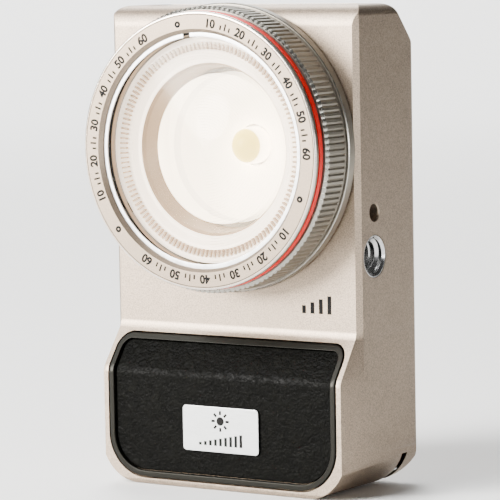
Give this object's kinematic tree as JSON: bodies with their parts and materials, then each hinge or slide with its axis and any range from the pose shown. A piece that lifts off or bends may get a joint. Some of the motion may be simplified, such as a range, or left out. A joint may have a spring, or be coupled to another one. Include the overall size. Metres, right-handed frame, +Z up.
{
  "type": "fresnel spotlight",
  "caption": "Pocket studio spotlight: upright metal body with a leather-faced foot, a screw-focus fresnel lens head and a side tripod thread.",
  "frame": {"origin": "centre of the flat base, midway across the width and midway between the bulge's front plane and the back plane", "axes": "+Z is up, the lens looks along -Y and +X is the side with the tripod thread"},
  "size_m": [0.0518, 0.0341, 0.0865],
  "materials": {
    "champagne_body": "bead-blasted, champagne anodised, satin",
    "grey_anodised": "grey anodised, satin, turned",
    "red_anodised": "red anodised, satin",
    "dark_trim": "dark anodised frame",
    "black_leather": "fine creased grain, semi-matt",
    "silver_plate": "brushed silver plate",
    "bright_steel": "machined, bright",
    "white_plastic": "white, soft sheen",
    "black_plastic": "moulded, matt",
    "clear_lens": "clear moulded fresnel lens",
    "clear_window": "clear window",
    "smoked_glass": "smoked glossy window",
    "led_phosphor": "pale yellow phosphor",
    "circuit_board": "green solder mask",
    "bare_aluminium": "machined",
    "battery_wrap": "shrink-wrapped cell",
    "copper_coil": "enamelled winding"
  },
  "bodies": {
    "housing": {"main_housing": "champagne_body", "rear_cover": "champagne_body", "panel_bezel": "dark_trim", "leather_panel": "black_leather", "name_plate": "silver_plate", "thread_insert": "bright_steel", "lanyard_pin": "bright_steel", "usb_shell": "bright_steel", "usb_tongue": "black_plastic", "usb_board": "circuit_board", "top_window": "smoked_glass", "status_display": "black_plastic", "seat_ring": "bright_steel", "window_bezel": "grey_anodised", "front_window": "clear_window", "reflector_cup": "white_plastic", "led_emitter": "led_phosphor", "led_board": "bare_aluminium", "heat_spreader": "bare_aluminium", "battery_cell": "battery_wrap", "battery_tray": "black_plastic", "main_board": "circuit_board", "driver_coil": "copper_coil", "control_chip": "black_plastic", "dial_encoder": "black_plastic", "power_switch": "black_plastic", "cover_screw_1": "bright_steel", "cover_screw_2": "bright_steel", "cover_screw_3": "bright_steel", "cover_screw_4": "bright_steel", "board_screw_1": "bright_steel", "board_screw_2": "bright_steel"},
    "dial": {"dial_knob": "grey_anodised", "dial_shaft": "bright_steel"},
    "power_button": {"power_button": "grey_anodised"},
    "lens_head": {"mount_ring": "grey_anodised", "head_magnet_1": "bright_steel", "head_magnet_2": "bright_steel", "head_magnet_3": "bright_steel", "head_magnet_4": "bright_steel", "guide_sleeve": "bare_aluminium", "inner_funnel": "white_plastic"},
    "focus_ring": {"focus_ring": "grey_anodised"},
    "lens_barrel": {"lens_barrel": "grey_anodised", "guide_pin_1": "bright_steel", "guide_pin_2": "bright_steel", "guide_pin_3": "bright_steel", "red_ring": "red_anodised", "front_ring": "champagne_body", "fresnel_lens": "clear_lens"}
  },
  "joints": [
    {"name": "head_release", "type": "slide", "parent": "housing", "child": "lens_head", "axis": [0, -1, 0], "range_m": [0, 0.02]},
    {"name": "focus_turn", "type": "hinge", "parent": "lens_head", "child": "focus_ring", "pos_m": [0, -0.00725, 0.0609], "axis": [0, -1, 0], "range_deg": [0, 75]},
    {"name": "barrel_travel", "type": "slide", "parent": "lens_head", "child": "lens_barrel", "axis": [0, -1, 0], "range_m": [0, 0.003]},
    {"name": "dial_turn", "type": "hinge", "parent": "housing", "child": "dial", "pos_m": [0, 0.01345, 0.056], "axis": [0, 1, 0], "continuous": true},
    {"name": "power_press", "type": "slide", "parent": "housing", "child": "power_button", "axis": [0, -1, 0], "range_m": [0, 0.0005], "stiffness_N_per_m": 2000, "springref_m": -0.0005}
  ],
  "couplings": [
    {"joint": "barrel_travel", "follows": "focus_turn", "m_per_rad": 0.00229}
  ]
}
